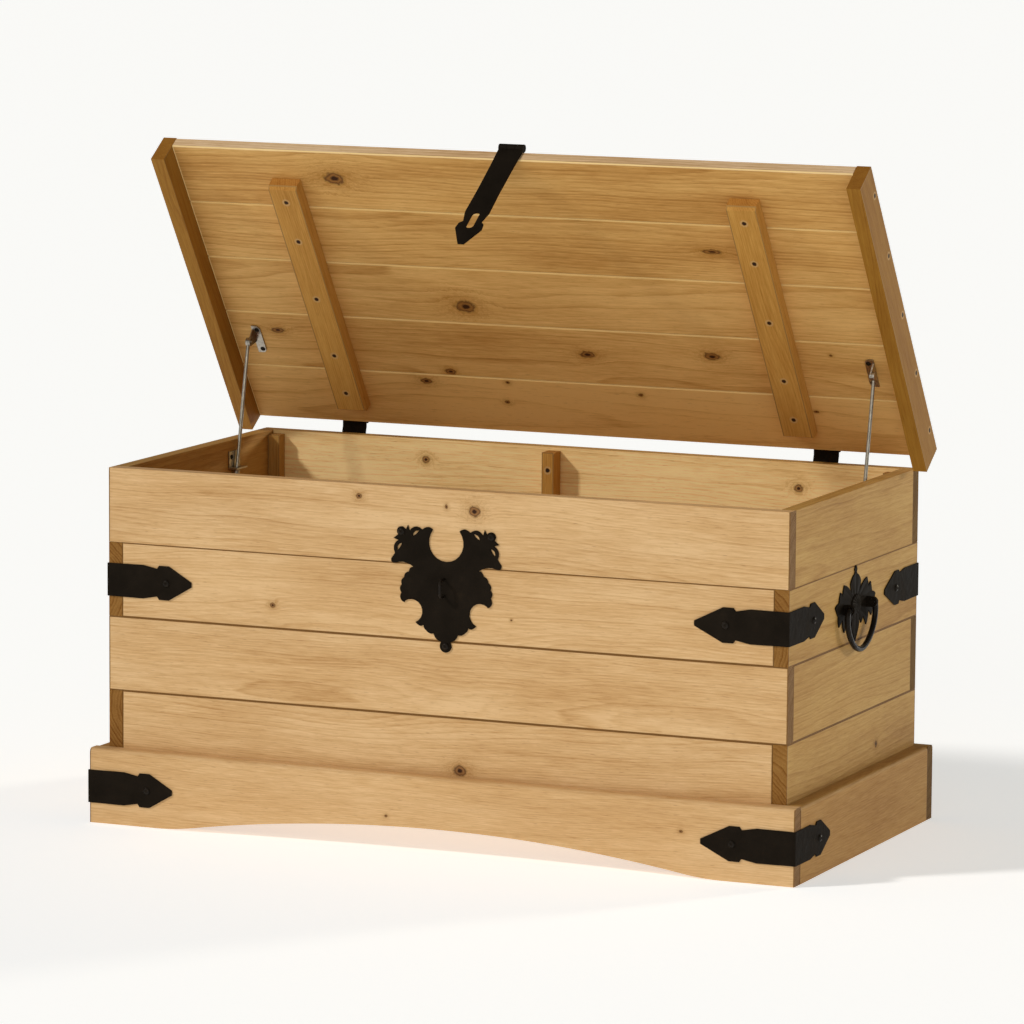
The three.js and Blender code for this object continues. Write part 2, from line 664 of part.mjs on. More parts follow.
// Outline of the swinging strap: half width at each distance below the pin.
const HASP_OUTLINE = [
  [3, HASP_HALF_W], [40, 17.2], [100, 16.8], [140, 17.6],
  [160, 13.2], [164, 18], [175, 19.4], [HASP_LENGTH, 4.5]];

function haspStrap() {
  const right = HASP_OUTLINE.map(([s, h]) => [h, HASP_PIN_Z - s]);
  const outline = polygon(mirrored(right));
  const slotR = SLOT_W / 2;
  const slot = new THREE.Path();
  slot.absarc(0, HASP_PIN_Z - SLOT_START - slotR, slotR, 0, Math.PI, false);
  slot.absarc(0, HASP_PIN_Z - SLOT_END + slotR, slotR, Math.PI, 2 * Math.PI, false);
  outline.holes.push(slot);
  const plate = plateFacingFront(outline, HASP_FACE_Y, HASP_T);
  const mid = HASP_HALF_W / 3 + RUN_GAP;
  const clear = KNUCKLE_R + RUN_GAP;
  const half = HASP_HALF_W;
  const strap = join([
    plate, rodAlongX(mid, half, HASP_PIN_Y, HASP_PIN_Z, KNUCKLE_R),
    rodAlongX(-half, -mid, HASP_PIN_Y, HASP_PIN_Z, KNUCKLE_R)]);
  const bore = rodAlongX(-half - 5, half + 5, HASP_PIN_Y, HASP_PIN_Z, HINGE_PIN_R + RUN_GAP, 6);
  return cut(strap, [bore, rodAlongX(-mid, mid, HASP_PIN_Y, HASP_PIN_Z, clear)]);
}

function addHasp() {
  place(lid, 'hasp_leaf', haspLeaf().translate(HASP_X, 0, 0), iron);
  place(lid, 'hasp_strap', haspStrap().translate(HASP_X, 0, 0), iron);
}

// ---- Lid stays ----
// Where the stay's pivot lies when the lid is closed, worked back from its place with the lid open.
function closedPivot() {
  const open = THREE.MathUtils.degToRad(LID_OPEN_DEG);
  const y = STAY_PIVOT_Y - PIN_Y;
  const z = STAY_PIVOT_Z - PIN_Z;
  return {
    y: PIN_Y + y * Math.cos(open) - z * Math.sin(open),
    z: PIN_Z + y * Math.sin(open) + z * Math.cos(open),
  };
}

const EYE_HALF = 2;
const EAR_FACE = STAY_X - EYE_HALF - 0.5;
const EAR_HALF = 12;
const FLANGE_W = 13;
const FLANGE_HALF = 24;
const FLANGE_ROUND = 6;
const FLANGE_SHIFT = 7;

// Plan of the bracket's flange: straight along the ear, rounded at the two screws.
function flangePlan(middleY) {
  const inner = EAR_FACE - FLANGE_W;
  const shape = new THREE.Shape();
  shape.moveTo(EAR_FACE, middleY - FLANGE_HALF);
  shape.lineTo(EAR_FACE, middleY + FLANGE_HALF);
  shape.lineTo(inner + FLANGE_ROUND, middleY + FLANGE_HALF);
  const turnX = inner + FLANGE_ROUND;
  const turnY = FLANGE_HALF - FLANGE_ROUND;
  shape.absarc(turnX, middleY + turnY, FLANGE_ROUND, Math.PI / 2, Math.PI, false);
  shape.absarc(turnX, middleY - turnY, FLANGE_ROUND, Math.PI, 1.5 * Math.PI, false);
  return shape;
}

function stayBracket() {
  const pivot = closedPivot();
  const top = LID_UNDER - IRON_GAP;
  const ear = new THREE.Shape();
  ear.moveTo(pivot.y - EAR_HALF, top);
  ear.lineTo(pivot.y - STAY_EYE_R, pivot.z);
  ear.absarc(pivot.y, pivot.z, STAY_EYE_R, Math.PI, 2 * Math.PI, false);
  ear.lineTo(pivot.y + EAR_HALF, top);
  ear.holes.push(new THREE.Path().absarc(pivot.y, pivot.z, STAY_ROD_R + RUN_GAP, 0, 2 * Math.PI, true));
  const upright = prismAlongX(ear, EAR_FACE - STAY_PLATE_T, STAY_PLATE_T, 8);
  const options = { depth: STAY_PLATE_T, bevelEnabled: false, curveSegments: 6 };
  const flange = new THREE.ExtrudeGeometry(flangePlan(pivot.y + FLANGE_SHIFT), options);
  return join([upright, flange.translate(0, 0, top - STAY_PLATE_T)]);
}

// The rod hangs from its eye at the origin; the collar under the guide is the lid's open stop.
function stayRod() {
  const eye = rodAlongX(-EYE_HALF, EYE_HALF, 0, 0, STAY_EYE_R, 10);
  const pin = rodAlongX(-EYE_HALF - STAY_PLATE_T - 2, EYE_HALF, 0, 0, STAY_ROD_R, 8);
  const rodLength = STAY_GUIDE_DIST + 12;
  const rod = new THREE.CylinderGeometry(STAY_ROD_R, STAY_ROD_R, rodLength, 12);
  rod.rotateX(Math.PI / 2).translate(0, 0, -rodLength / 2);
  const collar = new THREE.CylinderGeometry(4.6, 4.6, 6, 16).rotateX(Math.PI / 2);
  collar.translate(0, 0, -STAY_GUIDE_DIST - 6);
  return join([eye, pin, rod, collar]);
}

// Angle bracket on the end wall: a foot against the boards and a shelf the rod runs through.
function stayGuide(guideY, guideZ) {
  const face = HALF_W - BOARD - IRON_GAP;
  const halfLength = 17;
  const footTop = guideZ + 24;
  const foot = box(
    face - STAY_PLATE_T, face, guideY - halfLength, guideY + halfLength, guideZ - 1, footTop);
  const inner = STAY_X - 8;
  const shelf = box(inner, face, guideY - halfLength, guideY + halfLength, guideZ - 1, guideZ + 1);
  const slot = new THREE.Shape();
  const slotR = STAY_ROD_R + 0.9;
  const run = 2.6;
  slot.moveTo(STAY_X - slotR, guideY - run);
  slot.absarc(STAY_X, guideY - run, slotR, Math.PI, 2 * Math.PI, false);
  slot.absarc(STAY_X, guideY + run, slotR, 0, Math.PI, false);
  const slotCut = new THREE.ExtrudeGeometry(slot, { depth: 60, bevelEnabled: false, curveSegments: 6 });
  slotCut.translate(0, 0, guideZ - 30);
  return cut(join([foot, shelf]), [slotCut]);
}

function addStays() {
  const tilt = THREE.MathUtils.degToRad(STAY_TILT_DEG);
  const guideY = STAY_PIVOT_Y - STAY_GUIDE_DIST * Math.sin(tilt);
  const guideZ = STAY_PIVOT_Z - STAY_GUIDE_DIST * Math.cos(tilt);
  const bracket = stayBracket();
  const guide = stayGuide(guideY, guideZ);
  const rod = stayRod().rotateX(-tilt).translate(STAY_X, STAY_PIVOT_Y, STAY_PIVOT_Z);
  for (const side of ['right', 'left']) {
    const hand = (geometry) => (side === 'right' ? geometry : mirrorX(geometry));
    place(lid, `stay_bracket_${side}`, hand(bracket), zinc);
    place(chest, `stay_rod_${side}`, hand(rod), zinc);
    place(chest, `stay_guide_${side}`, hand(guide), zinc);
  }
}

function mirrorX(geometry) {
  return toGeometry(toSolid(geometry).mirror([1, 0, 0]));
}

addWalls();
addPosts();
addPlinth();
addStraps();
addLatchPlate();
addStaple();
addHandles();
addLidBoards();
addLidBattens();
addHinges();
addHasp();
addStays();

export default chest;
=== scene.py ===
import collections
import math
import random

import bmesh
import bpy
from mathutils import Matrix, Vector


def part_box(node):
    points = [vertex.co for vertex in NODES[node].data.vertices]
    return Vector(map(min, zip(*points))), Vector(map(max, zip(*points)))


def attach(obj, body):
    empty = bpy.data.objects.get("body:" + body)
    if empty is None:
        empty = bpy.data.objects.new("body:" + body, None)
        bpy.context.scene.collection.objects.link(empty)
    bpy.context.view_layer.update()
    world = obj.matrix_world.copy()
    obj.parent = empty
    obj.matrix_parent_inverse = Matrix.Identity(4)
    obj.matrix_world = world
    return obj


# A pine storage chest with black iron fittings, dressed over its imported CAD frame. Metres, +Z up.
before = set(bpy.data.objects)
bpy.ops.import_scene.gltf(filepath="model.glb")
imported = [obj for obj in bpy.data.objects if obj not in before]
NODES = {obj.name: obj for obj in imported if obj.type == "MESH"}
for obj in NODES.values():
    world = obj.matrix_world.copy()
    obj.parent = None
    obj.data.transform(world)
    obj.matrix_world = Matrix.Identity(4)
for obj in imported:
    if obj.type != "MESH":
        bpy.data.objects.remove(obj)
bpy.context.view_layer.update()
RNG = random.Random(11)

MM = 0.001
LID_OPEN = math.radians(55.6)

# ---- Directions of the timber ----
ALONG_X = Vector((1, 0, 0))
ALONG_Y = Vector((0, 1, 0))
ALONG_Z = Vector((0, 0, 1))
LID_BACK = Vector((0, math.cos(LID_OPEN), -math.sin(LID_OPEN)))
LID_UP = Vector((0, math.sin(LID_OPEN), math.cos(LID_OPEN)))

# ---- Camera ----
VIEW_AZIMUTH = math.radians(23.6)
VIEW_ELEVATION = math.radians(7.97)
VIEW_ROLL = math.radians(0.4)
VIEW_DISTANCE = 8.13
VIEW_TARGET = Vector((-0.004, 0.002, 0.4311))
VIEW_LENS = 207.5
SENSOR = 36.0


def make_camera():
    back = Vector((
        math.sin(VIEW_AZIMUTH) * math.cos(VIEW_ELEVATION),
        -math.cos(VIEW_AZIMUTH) * math.cos(VIEW_ELEVATION),
        math.sin(VIEW_ELEVATION)))
    camera = bpy.data.cameras.new("camera")
    camera.lens = VIEW_LENS
    camera.sensor_width = SENSOR
    camera.clip_end = 100
    holder = bpy.data.objects.new("camera", camera)
    bpy.context.scene.collection.objects.link(holder)
    turn = back.to_track_quat("Z", "Y").to_matrix().to_4x4()
    roll = Matrix.Rotation(VIEW_ROLL, 4, "Z")
    holder.matrix_world = Matrix.Translation(VIEW_TARGET + back * VIEW_DISTANCE) @ turn @ roll
    bpy.context.scene.camera = holder


# ---- Shader helpers ----
class Graph:
    """Short calls for building a shader node tree."""

    def __init__(self, tree):
        self.tree = tree

    def add(self, kind, **settings):
        node = self.tree.nodes.new(kind)
        for name, value in settings.items():
            setattr(node, name, value)
        return node

    def wire(self, socket, value):
        if isinstance(value, bpy.types.NodeSocket):
            self.tree.links.new(value, socket)
        else:
            socket.default_value = value

    def math(self, operation, a, b=0.0, clamp=False):
        node = self.add("ShaderNodeMath", operation=operation, use_clamp=clamp)
        self.wire(node.inputs[0], a)
        self.wire(node.inputs[1], b)
        return node.outputs[0]

    def vector(self, operation, a, b):
        node = self.add("ShaderNodeVectorMath", operation=operation)
        self.wire(node.inputs[0], a)
        self.wire(node.inputs[1], b)
        return node.outputs[0]

    def split(self, vector):
        node = self.add("ShaderNodeSeparateXYZ")
        self.wire(node.inputs[0], vector)
        return node.outputs

    def hill(self, value, narrow):
        """A bell curve round zero; narrow is the inverse of its half width."""
        spread = self.math("POWER", self.math("ABSOLUTE", self.math("MULTIPLY", value, narrow)), 2)
        return self.math("EXPONENT", self.math("MULTIPLY", spread, -1))

    def stretched(self, vector, along, across):
        """The vector scaled for a pattern drawn out along the grain."""
        return self.vector("MULTIPLY", vector, (along, across, across))

    def dot(self, a, direction):
        node = self.add("ShaderNodeVectorMath", operation="DOT_PRODUCT")
        self.wire(node.inputs[0], a)
        node.inputs[1].default_value = direction
        return node.outputs["Value"]

    def facing(self, normal, direction, start):
        """1 where a face looks along the direction, either way."""
        beyond = self.math("SUBTRACT", self.math("ABSOLUTE", self.dot(normal, direction)), start)
        return self.math("MULTIPLY", beyond, 4, clamp=True)

    def noise(self, vector, scale, detail=2.0, rough=0.5):
        node = self.add("ShaderNodeTexNoise")
        self.wire(node.inputs["Vector"], vector)
        node.inputs["Scale"].default_value = scale
        node.inputs["Detail"].default_value = detail
        node.inputs["Roughness"].default_value = rough
        return node.outputs["Fac"]

    def ramp(self, value, stops):
        node = self.add("ShaderNodeValToRGB")
        self.wire(node.inputs[0], value)
        bar = node.color_ramp
        while len(bar.elements) < len(stops):
            bar.elements.new(0.5)
        for element, (place, colour) in zip(bar.elements, stops):
            element.position = place
            element.color = (*colour, 1) if isinstance(colour, tuple) else (colour, colour, colour, 1)
        return node.outputs[0]

    def mix(self, factor, a, b, blend="MIX"):
        node = self.add("ShaderNodeMix", data_type="RGBA", blend_type=blend)
        self.wire(node.inputs[0], factor)
        self.wire(node.inputs[6], a)
        self.wire(node.inputs[7], b)
        return node.outputs[2]

    def bump(self, height, distance, strength=1.0):
        node = self.add("ShaderNodeBump")
        node.inputs["Distance"].default_value = distance
        node.inputs["Strength"].default_value = strength
        self.wire(node.inputs["Height"], height)
        return node.outputs["Normal"]


def new_group(name, inputs, outputs):
    tree = bpy.data.node_groups.new(name, "ShaderNodeTree")
    for socket, kind in inputs:
        tree.interface.new_socket(socket, in_out="INPUT", socket_type=kind)
    for socket, kind in outputs:
        tree.interface.new_socket(socket, in_out="OUTPUT", socket_type=kind)
    graph = Graph(tree)
    return graph, graph.add("NodeGroupInput").outputs, graph.add("NodeGroupOutput").inputs


# ---- Pine ----
FLOAT = "NodeSocketFloat"
VECTOR = "NodeSocketVector"
COLOUR = "NodeSocketColor"

# The band along board edges (painted shade in the joints, pale on the lid): its width, strength and
# raggedness.
SEAM_WIDTH = 0.0019
SEAM_DEPTH = 1.9
SEAM_RAGGED = 0.0009
SCREW_RADIUS = 0.0042
SCREW_RAGGED = 0.0016
SCREW_CRISP = 1800
RIM_OUT = 0.0013
RIM_CRISP = 900

# Pale wood to dark wood, with the place of each on the scale of depth of colour.
WOOD_STOPS = [
    (0.0, (0.83, 0.585, 0.325)), (0.3, (0.70, 0.455, 0.222)), (0.6, (0.555, 0.325, 0.135)),
    (1.0, (0.34, 0.165, 0.052))]
LATE_WOOD_STOPS = [(0, 0.0), (0.3, 0.12), (0.7, 0.6), (0.86, 1.0), (0.95, 0.5), (1, 0.0)]
WARM_WASH = (1.0, 0.93, 0.80, 1)
FLECK = (0.33, 0.15, 0.05, 1)
KNOT_HALO = (0.40, 0.20, 0.050, 1)
KNOT_PALE = (0.40, 0.19, 0.065, 1)
KNOT_DARK = (0.16, 0.065, 0.022, 1)
KNOT_RING = (0.075, 0.03, 0.012, 1)
KNOT_PIP = (0.045, 0.018, 0.008, 1)
HOLE_RIM = (0.62, 0.42, 0.20, 1)
SCREW_COLOUR = (0.040, 0.020, 0.011, 1)


def knot_group():
    """A knot in a board: how far it pushes the rings aside, its heart, its dark rim and its surround."""
    g, given, result = new_group(
        "knot",
        [("Vector", VECTOR), ("Centre", VECTOR), ("Radius", FLOAT), ("Stretch", FLOAT)],
        [("Warp", FLOAT), ("Core", FLOAT), ("Halo", FLOAT), ("Ring", FLOAT), ("Pip", FLOAT)])
    away = g.split(g.vector("SUBTRACT", given["Vector"], given["Centre"]))
    along = g.math("DIVIDE", away[0], g.math("MULTIPLY", given["Radius"], given["Stretch"]))
    across = g.math("DIVIDE", away[1], given["Radius"])
    ragged = g.noise(given["Vector"], 190, 3)
    far = g.math("SQRT", g.math("ADD", g.math("POWER", along, 2), g.math("POWER", across, 2)))
    far = g.math("MULTIPLY", far, g.math("ADD", g.math("MULTIPLY", ragged, 0.9), 0.55))
    g.wire(result["Warp"], g.math("MULTIPLY", g.hill(far, 0.42), g.math("MULTIPLY", given["Radius"], 1.7)))
    inside = g.math("SUBTRACT", 1, g.math("MULTIPLY", g.math("SUBTRACT", far, 0.85), 4), clamp=True)
    g.wire(result["Core"], inside)
    g.wire(result["Pip"], g.math("SUBTRACT", 1, g.math("MULTIPLY", far, 1.7), clamp=True))
    rings = g.math("MULTIPLY", g.math("SINE", g.math("MULTIPLY", far, 11)), g.hill(far, 0.45))
    g.wire(result["Halo"], g.math("ADD", g.hill(far, 0.44), g.math("MULTIPLY", rings, 0.35)))
    g.wire(result["Ring"], g.hill(g.math("SUBTRACT", far, 0.95), 5.5))
    return g.tree


def late_wood(g, given, place, seeded):
    """How near a point lies to the dark end of its growth ring, weaker in some years."""
    wander = g.math("MULTIPLY", g.math("SUBTRACT", g.noise(g.stretched(seeded, 1.6, 5), 1, 2), 0.5), 0.06)
    ripple = g.math("MULTIPLY", g.math("SUBTRACT", g.noise(g.stretched(seeded, 7, 60), 1, 3), 0.5), 0.005)
    centred = g.split(g.vector("SUBTRACT", place, given["Pith"]))
    across = g.math("ADD", centred[1], wander)
    depth = g.math("ADD", centred[2], g.math("MULTIPLY", wander, 0.5))
    radius = g.math("SQRT", g.math("ADD", g.math("POWER", across, 2), g.math("POWER", depth, 2)))
    radius = g.math("ADD", radius, g.math("MULTIPLY", centred[0], given["Taper"]))
    radius = g.math("ADD", g.math("ADD", radius, given["Warp"]), ripple)
    count = g.math("DIVIDE", radius, given["Spacing"])
    year = g.add("ShaderNodeTexWhiteNoise", noise_dimensions="1D")
    g.wire(year.inputs["W"], g.math("FLOOR", count))
    late = g.ramp(g.math("FRACT", count), LATE_WOOD_STOPS)
    return g.math("MULTIPLY", late, g.math("ADD", g.math("MULTIPLY", year.outputs["Value"], 0.85), 0.15))


def swayed(g, value, parts):
    """The value moved up and down by each pattern, by its strength."""
    for part, strength in parts:
        value = g.math("ADD", value, g.math("MULTIPLY", g.math("SUBTRACT", part, 0.5), strength))
    return value


def knotted(g, given, colour, fibre):
    """The colour with the knots' surround, heart, dark rim and pip laid over it."""
    colour = g.mix(g.math("MULTIPLY", given["Halo"], 0.62, clamp=True), colour, KNOT_HALO)
    heart = g.mix(g.math("MULTIPLY", fibre, 0.8), KNOT_PALE, KNOT_DARK)
    colour = g.mix(g.math("MULTIPLY", given["Core"], 0.85), colour, heart)
    colour = g.mix(g.math("MULTIPLY", given["Ring"], 0.72), colour, KNOT_RING)
    return g.mix(g.math("MULTIPLY", given["Pip"], 2.2, clamp=True), colour, KNOT_PIP)


def finished(g, given, colour, late, seam):
    """The colour with end grain, the board's tint, a band along its edges (painted shade in the joints, a
    pale line on the lid) and screw heads.
    """
    end = g.mix(g.math("ADD", g.math("MULTIPLY", late, 0.3), 0.72), colour, given["EndTint"], "MULTIPLY")
    colour = g.mix(given["End"], colour, end)
    colour = g.mix(1.0, colour, given["Tint"], "MULTIPLY")
    colour = g.mix(g.math("MULTIPLY", seam, given["Face"]), colour, given["Seam"])
    colour = g.mix(g.math("MULTIPLY", given["Rim"], 0.6), colour, HOLE_RIM)
    return g.mix(given["Head"], colour, SCREW_COLOUR)


def pine_group():
    """Lacquered pine in a board's own frame: X along the grain, Y across the face, Z through."""
    g, given, result = new_group(
        "pine",
        [("Vector", VECTOR), ("Seed", VECTOR), ("Pith", VECTOR), ("Taper", FLOAT), ("Spacing", FLOAT),
         ("Warp", FLOAT), ("Core", FLOAT), ("Halo", FLOAT), ("Ring", FLOAT), ("Pip", FLOAT),
         ("Tone", FLOAT), ("End", FLOAT), ("EndTint", COLOUR), ("Half", VECTOR), ("Tint", COLOUR),
         ("Seam", COLOUR), ("Face", FLOAT), ("Figure", FLOAT), ("Head", FLOAT), ("Rim", FLOAT)],
        [("Color", COLOUR), ("Roughness", FLOAT), ("Height", FLOAT)])
    place = given["Vector"]
    seeded = g.vector("ADD", place, given["Seed"])
    late = late_wood(g, given, place, seeded)
    streak = g.noise(g.stretched(seeded, 4.5, 150), 1, 3, 0.6)
    fibre = g.noise(g.stretched(seeded, 24, 500), 1, 4, 0.66)
    fine = g.noise(g.stretched(seeded, 45, 1150), 1, 3, 0.6)
    blotch = g.noise(g.stretched(seeded, 3.4, 13), 1, 3)
    cloud = g.noise(g.stretched(seeded, 5.5, 34), 1, 3, 0.6)
    broad = g.math("MULTIPLY", g.math("SUBTRACT", late, 0.3), 0.24)
    broad = swayed(g, broad, ((streak, 0.22), (blotch, 0.50), (cloud, 0.42)))
    shade = g.math("ADD", g.math("MULTIPLY", broad, given["Figure"]), given["Tone"])
    colour = g.ramp(swayed(g, shade, ((fibre, 0.74), (fine, 0.62))), WOOD_STOPS)
    warm = g.math("MULTIPLY", g.noise(g.stretched(seeded, 2.4, 22), 1, 2), 0.6)
    colour = g.mix(warm, colour, WARM_WASH, "MULTIPLY")
    fleck = g.noise(g.stretched(seeded, 75, 800), 1, 1)
    dark = g.math("MULTIPLY", g.math("SUBTRACT", fleck, 0.64), 5, clamp=True)
    colour = g.mix(g.math("MULTIPLY", dark, 0.5), colour, FLECK)
    colour = knotted(g, given, colour, fibre)
    # Painted shade along the board's long edges, in the joints; on the lid boards a pale line instead.
    seam = seam_mask(g, place, given["Half"], streak)
    g.wire(result["Color"], finished(g, given, colour, late, seam))
    rough = g.math("ADD", 0.42, g.math("MULTIPLY", fibre, 0.2))
    g.wire(result["Roughness"], g.math("ADD", rough, g.math("MULTIPLY", given["End"], 0.2)))
    height = g.math("ADD", g.math("MULTIPLY", late, 0.3), g.math("MULTIPLY", fibre, 0.7))
    height = g.math("SUBTRACT", height, g.math("MULTIPLY", dark, 0.5))
    g.wire(result["Height"], g.math("SUBTRACT", height, g.math("MULTIPLY", given["Head"], 3)))
    return g.tree


def screw_group():
    """A countersunk screw in a board's face: its dark head and the pale rim of its hole."""
    g, given, result = new_group(
        "screw", [("Vector", VECTOR), ("Centre", VECTOR)], [("Head", FLOAT), ("Rim", FLOAT)])
    away = g.split(g.vector("SUBTRACT", given["Vector"], given["Centre"]))
    ragged = g.math("MULTIPLY", g.noise(given["Vector"], 420, 2), SCREW_RAGGED)
    far = g.math("SQRT", g.math("ADD", g.math("POWER", away[0], 2), g.math("POWER", away[1], 2)))
    far = g.math("ADD", far, ragged)
    inside = g.math("SUBTRACT", SCREW_RADIUS, far)
    g.wire(result["Head"], g.math("MULTIPLY", inside, SCREW_CRISP, clamp=True))
    g.wire(result["Rim"], g.hill(g.math("SUBTRACT", far, SCREW_RADIUS + RIM_OUT), RIM_CRISP))
    return g.tree


def seam_mask(g, place, half, streak):
    """How near a point lies to a board's long edges, for the band of colour laid there: painted shade in
    the joints, and a pale line on the lid boards.
    """
    where = g.split(g.vector("ABSOLUTE", place, (0, 0, 0)))
    limits = g.split(half)
    inside = [g.math("SUBTRACT", limits[axis], where[axis]) for axis in (0, 1)]
    nearest = g.math("MINIMUM", inside[0], inside[1])
    nearest = g.math("ADD", nearest, g.math("MULTIPLY", g.math("SUBTRACT", streak, 0.5), SEAM_RAGGED))
    reach = g.math("SUBTRACT", SEAM_WIDTH, nearest)
    return g.math("MULTIPLY", reach, SEAM_DEPTH / SEAM_WIDTH, clamp=True)


PINE = pine_group()
KNOT = knot_group()
SCREW = screw_group()
OPEN_TOPPED = ("board_1", "plinth_front", "plinth_back", "plinth_left", "plinth_right")
OPEN_EDGE = 0.01
TIGHT_EDGE = 0.0002
COARSE_GRAIN = 0.0048
FINE_GRAIN = 0.0030

# Knots by board, in mm: place along and across from its middle, radius, and length over width.
KNOTS = {
    "front_board_1": [(49, 24, 6.4, 1.15), (8, 28, 2.6, 0.75), (-121, 35, 3.4, 1.2)],
    "front_board_2": [(-250, -20, 3.0, 1.2), (104, -16, 1.2, 1.2)],
    "front_board_4": [(30, -20, 6.6, 1.25)],
    "plinth_front": [(359, 9, 1.8, 1.4), (-70, -6, 1.6, 1.3)],
    "back_board_1": [(-238, 22, 4.4, 1.2), (331, 15, 4.8, 1.2)],
    "back_board_3": [(120, 8, 5.0, 1.4)],
    "right_board_4": [(92, -1, 4.2, 1.0)],
    "left_board_2": [(-120, 14, 4.0, 1.3)],
    "left_board_3": [(60, -12, 4.8, 1.3)],
    "lid_board_5": [(-267, 3.5, 9.0, 1.5)],
    "lid_board_4": [(273, 3, 3.6, 3.4)],
    "lid_board_3": [(-123, -19, 9.2, 1.5)],
    "lid_board_2": [
        (44, 4, 5.4, 1.9), (233, 13, 5.6, 1.9), (-176, -42, 4.4, 1.6), (410, 27, 1.8, 1.3),
        (-431, 18, 4.4, 2.0)],
    "lid_board_1": [
        (-219, 37, 4.2, 1.9), (-92, 43, 2.2, 1.4), (-101, 6, 2.6, 1.4), (109, 34, 2.6, 1.2),
        (368, 22, 1.8, 1.8)],
}


BATTEN_SCREWS = [(4.5 + along, 0) for along in (-174, -104, 0, 104, 174)]
RAIL_SCREWS = [(along, 14.8) for along in (-206, -103, 0, 103, 206)]
POST_SCREWS = [(along, 0) for along in (-160, 0, 178)]
SCREWS = {
    "lid_batten": BATTEN_SCREWS, "lid_rail": RAIL_SCREWS, "wall_batten": POST_SCREWS,
}


def board_frame(grain, width):
    """The turn from the row frame to a board's own frame."""
    return Matrix((grain, width, grain.cross(width)))


def board_box(node, turn):
    """Middle and half size of a CAD node, measured in a board's own frame."""
    points = [turn @ vertex.co for vertex in NODES[node].data.vertices]
    low = Vector([min(p[i] for p in points) for i in range(3)])
    high = Vector([max(p[i] for p in points) for i in range(3)])
    return (low + high) / 2, (high - low) / 2


# Faces painted paler than the rest of their board, by the start of the board's name:
# painted light on the inner face of the back wall, which the open lid shades, and a painted highlight on
# the lid's free edge.
PAINTED_LIGHT_FACES = {
    "back_board": (-ALONG_Y, (1.38, 1.51, 1.41)),
    "lid_board_5": (-LID_BACK, (1.12, 1.22, 1.50)),
}


def edge_trim(node):
    """How far outside the long edges the band along them (painted shade in the joints, a pale line on the
    lid) is laid out.
    """
    if node.startswith("lid_board"):
        return TIGHT_EDGE
    return OPEN_EDGE if node.endswith(OPEN_TOPPED) else 0


def pine_material(node, timber):
    """The material of one board, with its own pith, knots and depth of colour."""
    material = bpy.data.materials.new("pine_" + node)
    material.use_nodes = True
    g = Graph(material.node_tree)
    shader = material.node_tree.nodes["Principled BSDF"]
    turn = board_frame(timber.grain, timber.width)
    middle, half = board_box(node, turn)
    where = g.add("ShaderNodeTexCoord")
    mapping = g.add("ShaderNodeMapping", vector_type="POINT")
    mapping.inputs["Rotation"].default_value = turn.to_euler("XYZ")
    mapping.inputs["Location"].default_value = -middle
    g.wire(mapping.inputs["Vector"], where.outputs["Object"])
    end = g.facing(where.outputs["Normal"], timber.grain, 0.6)
    face = g.facing(where.outputs["Normal"], timber.grain.cross(timber.width), 0.5)
    pine = g.add("ShaderNodeGroup", node_tree=PINE)
    g.wire(pine.inputs["Vector"], mapping.outputs[0])
    side = RNG.choice((-1, 1))
    pine.inputs["Seed"].default_value = [RNG.uniform(-9, 9) for _ in range(3)]
    shift = side * RNG.uniform(0.0, 0.06) if timber.figured else side * RNG.uniform(0.07, 0.15)
    pine.inputs["Pith"].default_value = (RNG.uniform(-0.3, 0.3), shift, side * RNG.uniform(0.04, 0.09))
    pine.inputs["Taper"].default_value = RNG.choice((-1, 1)) * RNG.uniform(0.004, 0.014)
    pine.inputs["Spacing"].default_value = timber.spacing
    pine.inputs["Tone"].default_value = timber.tone + RNG.uniform(-0.035, 0.035)
    pine.inputs["Half"].default_value = half + Vector((0, edge_trim(node), 0))
    pine.inputs["Figure"].default_value = timber.figure
    g.wire(pine.inputs["Face"], face)
    pine.inputs["Tint"].default_value = (*timber.tint, 1)
    # Painted light: these faces grow paler the more they turn toward the given direction.
    for start, (direction, tint) in PAINTED_LIGHT_FACES.items():
        if node.startswith(start):
            toward = g.math("MAXIMUM", g.dot(where.outputs["Normal"], direction), 0)
            g.wire(pine.inputs["Tint"], g.mix(toward, (*timber.tint, 1), (*tint, 1)))
    pine.inputs["EndTint"].default_value = (*timber.end, 1)
    pine.inputs["Seam"].default_value = (*timber.seam, 1)
    g.wire(pine.inputs["End"], end)
    join_knots(g, pine, mapping.outputs[0], KNOTS.get(node, []))
    join_screws(g, pine, mapping.outputs[0], face, SCREWS.get(node.rsplit("_", 1)[0], []))
    g.wire(shader.inputs["Base Color"], pine.outputs["Color"])
    g.wire(shader.inputs["Roughness"], pine.outputs["Roughness"])
    g.wire(shader.inputs["Normal"], g.bump(pine.outputs["Height"], 0.0004, 0.5))
    shader.inputs["Specular IOR Level"].default_value = 0.12
    return material


def join_knots(g, pine, place, knots):
    sums = {"Warp": 0.0, "Core": 0.0, "Halo": 0.0, "Ring": 0.0, "Pip": 0.0}
    for along, across, radius, stretch in knots:
        knot = g.add("ShaderNodeGroup", node_tree=KNOT)
        g.wire(knot.inputs["Vector"], place)
        knot.inputs["Centre"].default_value = (along * MM, across * MM, 0)
        knot.inputs["Radius"].default_value = radius * MM
        knot.inputs["Stretch"].default_value = stretch
        for name in sums:
            operation = "ADD" if name == "Warp" else "MAXIMUM"
            sums[name] = g.math(operation, knot.outputs[name], sums[name])
    for name, total in sums.items():
        g.wire(pine.inputs[name], total)


